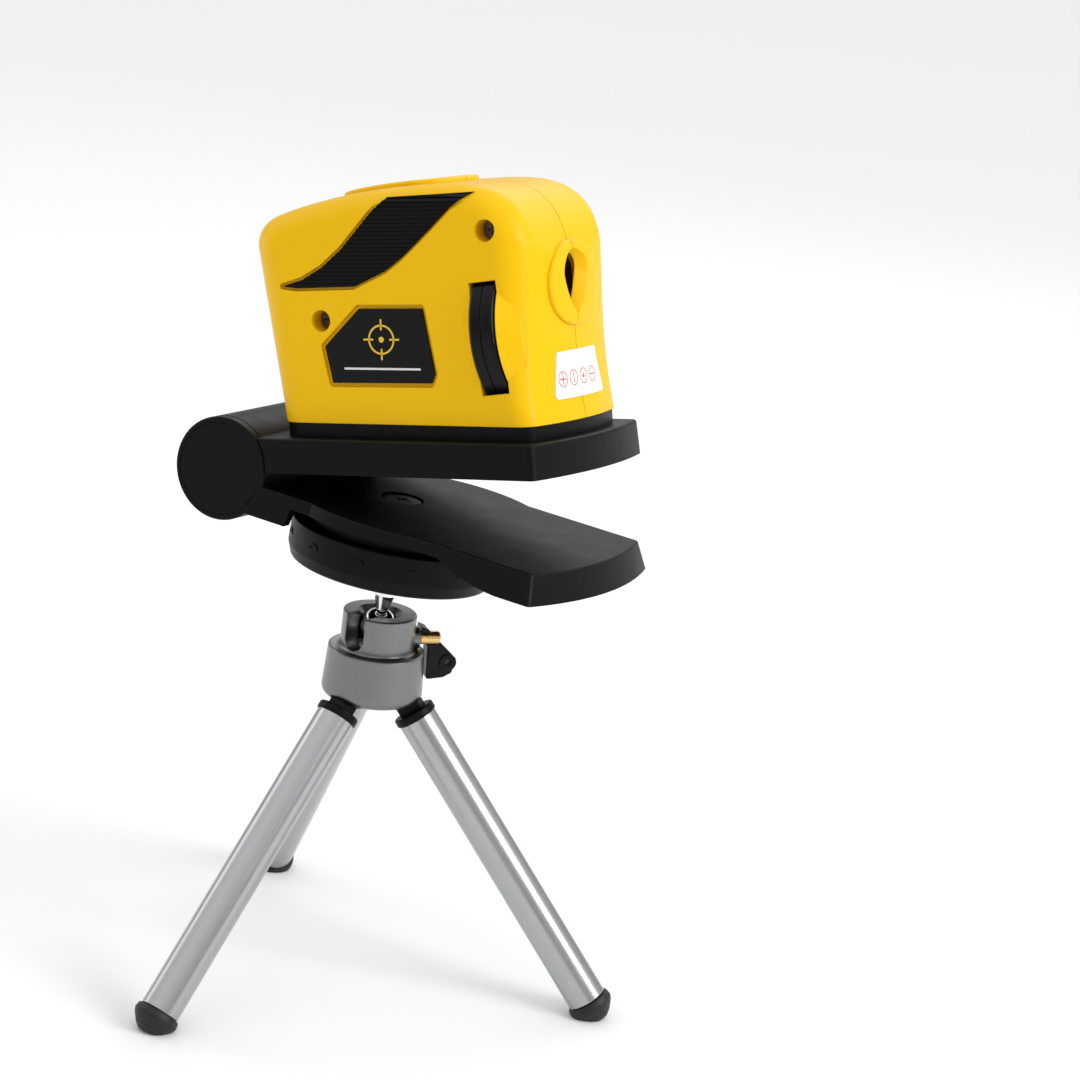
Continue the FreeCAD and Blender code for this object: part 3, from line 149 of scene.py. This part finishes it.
def moulded(name, colour, rough, grain, depth, edge, vary=0.03, coat=0.0, scatter=0.0, specular=0.3):
    """Injection-moulded plastic: a fine spark grain, slow gloss changes and faintly uneven colour."""
    tree = Tree(name)
    here = tree.place()
    slow = tree.noise(here, PLASTIC_CLOUDS, 1.0)
    fine = tree.noise(here, grain, 2.0, 0.6)
    gloss = tree.noise(here, PLASTIC_GLOSS, 2.0)
    tree.set(Base_Color=tree.tint(slow, shade(colour, 1 - vary), shade(colour, 1 + vary)),
             Roughness=tree.span(gloss, rough * 0.94, rough * 1.07),
             IOR=PLASTIC_IOR, Coat_Weight=coat, Coat_Roughness=0.12, Specular_IOR_Level=specular,
             Normal=tree.bump(fine, depth, tree.soft_edges(edge)))
    if scatter:
        tree.set(Subsurface_Weight=scatter, **SHELL_SCATTER)
    return tree.material


def metal(name, colour, rough, grain=2600.0, depth=4, edge=0.12, turn=None, stretch=(1, 1, 1), vary=0.05):
    """Bare or plated metal; stretch draws the grain out along one axis."""
    tree = Tree(name)
    lines = tree.noise(tree.place(stretch, turn), grain, 4.0, 0.6)
    slow = tree.noise(tree.place(), METAL_CLOUDS, 2.0)
    tree.set(Base_Color=tree.tint(slow, shade(colour, 1 - vary), shade(colour, 1 + vary)), Metallic=1.0,
             Roughness=tree.span(lines, rough * 0.8, rough * 1.25),
             Normal=tree.bump(lines, depth, tree.soft_edges(edge)))
    return tree.material


def clear(name, colour, rough=0.02, ior=PLASTIC_IOR, transmission=0.9):
    """Glass, clear plastic or liquid, with a barely uneven surface."""
    tree = Tree(name)
    tree.set(Base_Color=(*colour, 1), Roughness=rough, IOR=ior, Transmission_Weight=transmission,
             Normal=tree.bump(tree.noise(tree.place(), 300.0), 3))
    return tree.material


def to_axis(axis):
    """Rotation that brings a row-frame axis onto +Z."""
    return Vector(axis).rotation_difference(Vector((0, 0, 1))).to_matrix()


YELLOW = (0.83, 0.485, 0.001)
BLACK = (0.0018, 0.0018, 0.002)
GLOSS_BLACK = (0.002, 0.002, 0.0022)
RUBBER = (0.008, 0.008, 0.008)
SILVER = (0.20, 0.208, 0.208)
TUBE = (0.42, 0.43, 0.44)
WINDOW = (0.012, 0.002, 0.002)
LIQUID = (0.42, 0.85, 0.02)
BOARD = (0.02, 0.13, 0.05)

materials = {
    "yellow_shell": moulded("yellow_shell", YELLOW, rough=0.34, grain=3000.0, depth=3, edge=0.3, vary=0.012,
                            scatter=0.05, specular=0.15),
    "black_plastic": moulded("black_plastic", BLACK, rough=0.40, grain=3000.0, depth=6, edge=0.2,
                             specular=0.13),
    "gloss_black": moulded("gloss_black", GLOSS_BLACK, rough=0.24, grain=1400.0, depth=2, edge=0.2,
                           specular=0.18),
    "label_white": moulded("label_white", (0.80, 0.79, 0.77), rough=0.45, grain=1800.0, depth=3, edge=0.05),
    "cast_silver": metal("cast_silver", SILVER, rough=0.32, depth=5, edge=0.25, vary=0.02),
    "chrome": metal("chrome", (0.80, 0.81, 0.83), rough=0.08, grain=900.0, depth=1, edge=0.1, vary=0.02),
    "brass": metal("brass", (0.78, 0.52, 0.20), rough=0.24, grain=1800.0),
    "steel": metal("steel", (0.56, 0.56, 0.58), rough=0.30),
    "dark_steel": metal("dark_steel", (0.13, 0.12, 0.11), rough=0.34),
    "foot_rubber": moulded("foot_rubber", RUBBER, rough=0.5, grain=1500.0, depth=15, edge=0.3, specular=0.4),
    "nylon": moulded("nylon", (0.72, 0.70, 0.64), rough=0.45, grain=1500.0, depth=5, edge=0.1),
    "lens_glass": clear("lens_glass", (0.95, 0.97, 0.98)),
    "tinted_window": moulded("tinted_window", WINDOW, rough=0.12, grain=900.0, depth=1, edge=0.1,
                             specular=0.4),
    "vial_liquid": clear("vial_liquid", LIQUID, rough=0.04, ior=1.42, transmission=0.55),
    "circuit_green": moulded("circuit_green", BOARD, rough=0.35, grain=900.0, depth=10, edge=0.05),
    "cell_wrap": moulded("cell_wrap", (0.05, 0.06, 0.08), rough=0.25, grain=900.0, depth=2, edge=0.1,
                         vary=0.05, coat=0.3),
}


def tube_metal(leg):
    """Drawn aluminium whose grain runs along one leg's tubes."""
    name = "tube_" + leg
    if name not in materials:
        along = to_axis(joint_axis("leg_" + leg + "_middle_slide"))
        materials[name] = metal(name, TUBE, rough=0.25, grain=3600.0, depth=0.6, edge=0.1, turn=along,
                                stretch=(1, 1, 0.02), vary=0.015)
    return name


# Deep in their yellow recesses the shell's screws look darker than the other steel, so they get the dark steel:
# painted shade standing in for the shade that falls inside the recesses.
for part in frame["record"]["subparts"]:
    chosen = part["material_slot"]
    if part["node"] == "housing_screws":
        chosen = "dark_steel"
    elif chosen == "tube_aluminium":
        chosen = tube_metal(part["node"].split("_")[-1])
    for slot in nodes[part["node"]].material_slots:
        slot.material = materials[chosen]


# ---- printed marks, laid on the surface below them ----
def new_piece(name, vertices, faces, material, body, smooth=False):
    mesh = bpy.data.meshes.new(name)
    mesh.from_pydata([tuple(v) for v in vertices], [], faces)
    mesh.validate()
    mesh.materials.append(material)
    for polygon in mesh.polygons:
        polygon.use_smooth = smooth
    piece = bpy.data.objects.new(name, mesh)
    bpy.context.scene.collection.objects.link(piece)
    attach(piece, body)
    return piece


def surface_of(node):
    mesh = nodes[node].data
    return BVHTree.FromPolygons([v.co for v in mesh.vertices], [tuple(p.vertices) for p in mesh.polygons])


INK_LIFT = 0.04 * MM
LOOK_FROM = 10 * MM


class Decal:
    """Flat closed strips drawn on a CAD face. Points are (u, v) in millimetres across the face."""

    def __init__(self, node, origin, across, up, outward):
        self.tree = surface_of(node)
        self.origin = origin
        self.across = across
        self.up = up
        self.outward = outward
        self.vertices = []
        self.faces = []

    def drop(self, u, v):
        """The face's point under (u, v), found by looking inwards from in front of it."""
        start = self.origin + (self.across * u + self.up * v) * MM + self.outward * LOOK_FROM
        hit = self.tree.ray_cast(start, -self.outward)[0]
        return hit if hit is not None else start - self.outward * LOOK_FROM

    def strip(self, inner, outer, closed=False):
        """A ribbon with thickness between two rows of points."""
        first = len(self.vertices)
        count = len(inner)
        for (u0, v0), (u1, v1) in zip(inner, outer):
            a = self.drop(u0, v0)
            b = self.drop(u1, v1)
            lift = self.outward * INK_LIFT
            self.vertices += [a - lift, b - lift, b + lift, a + lift]
        steps = count if closed else count - 1
        for k in range(steps):
            p = first + 4 * k
            q = first + 4 * ((k + 1) % count)
            for side in range(4):
                other = (side + 1) % 4
                self.faces.append((p + side, q + side, q + other, p + other))
        if not closed:
            last = first + 4 * (count - 1)
            self.faces.append((first + 3, first + 2, first + 1, first))
            self.faces.append((last, last + 1, last + 2, last + 3))

    def ring(self, u, v, radius, width, count=40):
        turns = [2 * math.pi * k / count for k in range(count)]
        inner = [(u + (radius - width) * math.cos(t), v + (radius - width) * math.sin(t)) for t in turns]
        outer = [(u + radius * math.cos(t), v + radius * math.sin(t)) for t in turns]
        self.strip(inner, outer, True)

    def line(self, u0, v0, u1, v1, width, steps=6):
        length = math.hypot(u1 - u0, v1 - v0)
        du = -(v1 - v0) / length * width / 2
        dv = (u1 - u0) / length * width / 2
        walk = [k / steps for k in range(steps + 1)]
        middle = [(u0 + (u1 - u0) * t, v0 + (v1 - v0) * t) for t in walk]
        self.strip([(u + du, v + dv) for u, v in middle], [(u - du, v - dv) for u, v in middle])

    def finish(self, name, material, body, slot):
        return new_piece(name, self.vertices, self.faces, material, body)


def ink(name, colour):
    return moulded(name, colour, rough=0.4, grain=1500.0, depth=2, edge=0.02)


red_ink = ink("red_ink", (0.62, 0.10, 0.06))
gold_ink = ink("gold_ink", (0.72, 0.48, 0.04))
pale_ink = ink("pale_ink", (0.70, 0.70, 0.68))

# Four beam patterns on the front label: cross, plumb line, dot, level line.
LABEL_X = 85
ICON_Z = 21.0
ICON_START = -8.4
ICON_PITCH = 4.9
ICON_R = 1.9
ICON_RING = 0.22
STROKE = 0.3
STROKE_REACH = 1.3
front = Decal("front_label", in_head(LABEL_X, 0, ICON_Z), HEAD_Y, HEAD_Z, HEAD_X)
for place, strokes in enumerate(["hv", "v", "", "h"]):
    u = ICON_START + place * ICON_PITCH
    front.ring(u, 0, ICON_R, ICON_RING)
    if "h" in strokes:
        front.line(u - STROKE_REACH, 0, u + STROKE_REACH, 0, STROKE)
    if "v" in strokes:
        front.line(u, -STROKE_REACH, u, STROKE_REACH, STROKE)
    if not strokes:
        front.ring(u, 0, 0.5, 0.49, 16)
front.finish("label_icons", red_ink, "head", "label_white")

# Nameplates, with no lettering: a target over a level line, and on/off marks beside the switch.
PLATE_Y = 23.1
TARGET_AT = (44, 30)
TARGET_V = 1.4
TARGET_R = 3.6
TARGET_STROKE = 0.45
ARM_FROM = 2.2
ARM_TO = 4.9
SWITCH_AT = (47, 31)
SWITCH_STROKE = 0.4


def plate_decal(name, side, at):
    return Decal("nameplate_" + name, in_head(at[0], side * PLATE_Y, at[1]), HEAD_X, HEAD_Z, HEAD_Y * side)


target = plate_decal("right", -1, TARGET_AT)
target.ring(0, TARGET_V, TARGET_R, TARGET_STROKE)
target.ring(0, TARGET_V, 0.7, 0.69, 20)
for du, dv in ((1, 0), (-1, 0), (0, 1), (0, -1)):
    target.line(du * ARM_FROM, TARGET_V + dv * ARM_FROM, du * ARM_TO, TARGET_V + dv * ARM_TO, TARGET_STROKE)
target.finish("nameplate_target", gold_ink, "head", "gloss_black")
level = plate_decal("right", -1, TARGET_AT)
level.line(-10.5, -5.6, 10.5, -5.6, 0.5)
level.finish("nameplate_line", pale_ink, "head", "gloss_black")
marks = plate_decal("left", 1, SWITCH_AT)
marks.ring(-7.4, 0, 1.3, 0.35, 28)
marks.line(7.2, -1.3, 7.2, 1.3, SWITCH_STROKE)
marks.line(-6, -5.2, 6, -5.2, SWITCH_STROKE)
marks.finish("switch_marks", pale_ink, "head", "gloss_black")

# ---- grip inlays, bent over the shell's rounded top edge ----
TOP_EDGE_R = 7.0
STEEPEST = 0.95
INLAY_PROUD = 0.8
ROOF_LOOK = (15, 80)


def grip_inlay(name, side):
    """The flat inlay's own shape, moved in where the shell below it rounds off towards the roof."""
    flat = nodes["side_inlay_" + name].data
    shell = surface_of("housing_" + name)
    points = []
    for vertex in flat.vertices:
        off = (vertex.co - BARREL) / MM
        x, y, z = off.dot(HEAD_X), off.dot(HEAD_Y), off.dot(HEAD_Z)
        roof = shell.ray_cast(in_head(x, side * ROOF_LOOK[0], ROOF_LOOK[1]), -HEAD_Z)[0]
        above = z - ((roof - BARREL) / MM).dot(HEAD_Z) + TOP_EDGE_R
        above = min(max(above, 0.0), TOP_EDGE_R * STEEPEST)
        drop = TOP_EDGE_R - math.sqrt(TOP_EDGE_R ** 2 - above ** 2)
        points.append(in_head(x, y - side * (drop - INLAY_PROUD * min(drop, 1.0)), z))
    faces = [tuple(polygon.vertices) for polygon in flat.polygons]
    black = materials["black_plastic"]
    piece = new_piece("grip_inlay_" + name, points, faces, black, "head")
    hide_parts("side_inlay_" + name)


grip_inlay("right", -1)
grip_inlay("left", 1)

# ---- vials: two level lines round each tube, and a bubble at its highest point ----
LINE_WIDTH = 0.35
LINE_FROM = 0.05
LINE_TO = 0.04
LINE_INK = (0.01, 0.01, 0.01)
ROUND = 40


def quad_ring(first, count, faces):
    """Joins a ring of count square sections, whose corners follow each other from vertex first."""
    for k in range(count):
        p = first + 4 * k
        q = first + 4 * ((k + 1) % count)
        for corner in range(4):
            following = (corner + 1) % 4
            faces.append((p + corner, p + following, q + following, q + corner))


def tube_rings(name, centre, axis, radius, offsets):
    """Thin inked bands round a tube, at the offsets along it from its centre."""
    side = axis.orthogonal().normalized()
    other = axis.cross(side)
    section = ((-LINE_WIDTH, radius - LINE_FROM), (LINE_WIDTH, radius - LINE_FROM),
               (LINE_WIDTH, radius + LINE_TO), (-LINE_WIDTH, radius + LINE_TO))
    vertices = []
    faces = []
    for offset in offsets:
        first = len(vertices)
        for k in range(ROUND):
            t = 2 * math.pi * k / ROUND
            out = side * math.cos(t) + other * math.sin(t)
            for along, reach in section:
                vertices.append(centre + (axis * (offset + along / 2) + out * reach) * MM)
        quad_ring(first, ROUND, faces)
    return new_piece(name, vertices, faces, ink(name + "_ink", LINE_INK), "head", True)


def ellipsoid(name, centre, axes, radii, material, rows=14, turns=24):
    """A closed ellipsoid with its poles on the first axis."""
    vertices = []
    for i in range(1, rows):
        polar = math.pi * i / rows
        for k in range(turns):
            t = 2 * math.pi * k / turns
            local = (math.cos(polar) * radii[0], math.sin(polar) * math.cos(t) * radii[1],
                     math.sin(polar) * math.sin(t) * radii[2])
            vertices.append(centre + (axes[0] * local[0] + axes[1] * local[1] + axes[2] * local[2]) * MM)
    faces = []
    for i in range(rows - 2):
        here = i * turns
        for k in range(turns):
            following = (k + 1) % turns
            faces.append((here + k, here + following, here + turns + following, here + turns + k))
    vertices += [centre + axes[0] * radii[0] * MM, centre - axes[0] * radii[0] * MM]
    last = (rows - 2) * turns
    for k in range(turns):
        faces.append((len(vertices) - 2, (k + 1) % turns, k))
        faces.append((len(vertices) - 1, last + k, last + (k + 1) % turns))
    return new_piece(name, vertices, faces, material, "head", True)


def middle_of(node):
    low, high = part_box(node)
    return (Vector(low) + Vector(high)) / 2


# Vial, its axis, its radius and its level lines' distance from the middle.
VIALS = (("long_vial", HEAD_X, 2.9, 2.6), ("cross_vial", HEAD_Y, 2.5, 1.9))
BUBBLE_SINK = 0.9
BUBBLE_HALF_WIDTH = 1.3
BUBBLE_HALF_HEIGHT = 0.75
BUBBLE_FILL = 0.85
bubble_air = clear("vial_bubble", (0.93, 1.0, 0.75), ior=1.1)
for vial, axis, radius, gap in VIALS:
    centre = middle_of(vial)
    tube_rings(vial + "_lines", centre, axis, radius, (-gap, gap))
    top = centre + HEAD_Z * (radius - BUBBLE_SINK) * MM
    size = (gap * BUBBLE_FILL, BUBBLE_HALF_WIDTH, BUBBLE_HALF_HEIGHT)
    ellipsoid(vial + "_bubble", top, (axis, HEAD_Z.cross(axis), HEAD_Z), size, bubble_air)

# ---- studio ----
DOME_LOW = 0.40
DOME_HIGH = 1.3
FLOOR_HALF = 20.0
FLOOR_GREY = 0.86
LIGHTS_AIM = (0, 0, 0.12)
# Name, place, width, height, watts.
LAMPS = (
    ("key", (1.05, 0.05, 0.75), 0.6, 0.6, 7.5),
    ("fill", (-0.9, -0.1, 0.35), 0.3, 0.8, 0.9),
    ("rim", (-0.1, 0.9, 0.6), 0.8, 0.4, 1.0),
)


def lamp(name, where, width, height, power):
    data = bpy.data.lights.new(name, "AREA")
    data.shape = "RECTANGLE"
    data.size = width
    data.size_y = height
    data.energy = power
    made = bpy.data.objects.new(name, data)
    made.location = where
    made.rotation_euler = (Vector(LIGHTS_AIM) - Vector(where)).to_track_quat("-Z", "Y").to_euler()
    bpy.context.scene.collection.objects.link(made)


def dome():
    """Soft white light from all round, brighter towards the top."""
    world = bpy.data.worlds.new("studio")
    world.use_nodes = True
    tree = world.node_tree
    height = tree.nodes.new("ShaderNodeSeparateXYZ")
    tree.links.new(tree.nodes.new("ShaderNodeTexCoord").outputs["Generated"], height.inputs[0])
    ramp = tree.nodes.new("ShaderNodeMapRange")
    tree.links.new(height.outputs["Z"], ramp.inputs["Value"])
    ramp.inputs["To Min"].default_value = DOME_LOW
    ramp.inputs["To Max"].default_value = DOME_HIGH
    background = tree.nodes["Background"]
    tree.links.new(ramp.outputs["Result"], background.inputs["Strength"])
    background.inputs["Color"].default_value = (1, 1, 1, 1)
    bpy.context.scene.world = world


def floor():
    half = FLOOR_HALF
    mesh = bpy.data.meshes.new("floor")
    mesh.from_pydata([(-half, -half, 0), (half, -half, 0), (half, half, 0), (-half, half, 0)], [],
                     [(0, 1, 2, 3)])
    plane = bpy.data.objects.new("floor", mesh)
    bpy.context.scene.collection.objects.link(plane)
    tree = Tree("floor_paint")
    tree.set(Base_Color=(FLOOR_GREY, FLOOR_GREY, FLOOR_GREY, 1), Roughness=0.7, Specular_IOR_Level=0.2)
    mesh.materials.append(tree.material)


# The camera stands where the reference view was taken: distance, heading, tilt and roll.
CAMERA_AT = Vector((0.3824, -0.6975, 0.3589))
CAMERA_HEADING = math.radians(28.81)
CAMERA_TILT = math.radians(17.77)
CAMERA_ROLL = math.radians(6.64)
CAMERA_LENS = 113.33
CAMERA_SENSOR = 36.0
CAMERA_SHIFT = (0.1464, 0.0554)


def camera():
    forward = Vector((-math.sin(CAMERA_HEADING) * math.cos(CAMERA_TILT),
                      math.cos(CAMERA_HEADING) * math.cos(CAMERA_TILT), -math.sin(CAMERA_TILT)))
    level = Vector((math.cos(CAMERA_HEADING), math.sin(CAMERA_HEADING), 0))
    up = level.cross(forward)
    right = level * math.cos(CAMERA_ROLL) + up * math.sin(CAMERA_ROLL)
    top = up * math.cos(CAMERA_ROLL) - level * math.sin(CAMERA_ROLL)
    data = bpy.data.cameras.new("camera")
    data.lens = CAMERA_LENS
    data.sensor_width = CAMERA_SENSOR
    data.shift_x, data.shift_y = CAMERA_SHIFT
    data.clip_start = 0.01
    made = bpy.data.objects.new("camera", data)
    turn = Matrix((right, top, -forward)).transposed().to_4x4()
    made.matrix_world = Matrix.Translation(CAMERA_AT) @ turn
    bpy.context.scene.collection.objects.link(made)
    bpy.context.scene.camera = made


floor()
dome()
for settings in LAMPS:
    lamp(*settings)
camera()
bpy.context.scene.view_settings.view_transform = "Standard"
